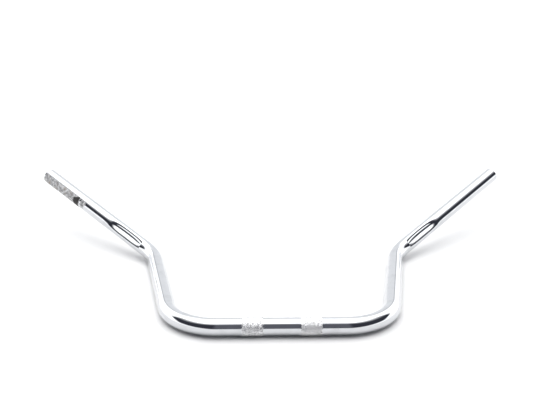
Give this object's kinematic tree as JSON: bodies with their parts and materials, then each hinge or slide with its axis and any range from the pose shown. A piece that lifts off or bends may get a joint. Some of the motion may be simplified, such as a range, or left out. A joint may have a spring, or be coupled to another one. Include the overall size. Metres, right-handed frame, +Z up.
{
  "type": "motorcycle handlebar",
  "caption": "Bent-tube motorcycle handlebar with knurled clamp bands, leaning risers, swept-back grips and a pressed wire dimple beside each grip.",
  "frame": {"origin": "middle of the clamp section, on the tube's axis, midway between the two knurled bands", "axes": "+X along the clamp section to the right-hand grip, +Y from the clamp section towards the elbows, +Z up off the surface that the bar lies on, the way the grips rise"},
  "size_m": [0.826, 0.4565, 0.1058],
  "materials": {
    "chrome_tube": "polished chrome plate, lightly scuffed",
    "knurled_chrome": "chrome plate over rolled diamond knurl, worn",
    "dried_glue": "dried grip adhesive, matte and patchy"
  },
  "bodies": {
    "root": {"clamp_section": "chrome_tube", "left_knurl_band": "knurled_chrome", "right_knurl_band": "knurled_chrome", "left_lower_bend": "chrome_tube", "right_lower_bend": "chrome_tube", "left_riser": "chrome_tube", "right_riser": "chrome_tube", "left_elbow": "chrome_tube", "right_elbow": "chrome_tube", "left_switch_section": "chrome_tube", "right_switch_section": "chrome_tube", "left_grip_section": "chrome_tube", "right_grip_section": "chrome_tube", "left_grip_glue": "dried_glue"}
  },
  "joints": []
}
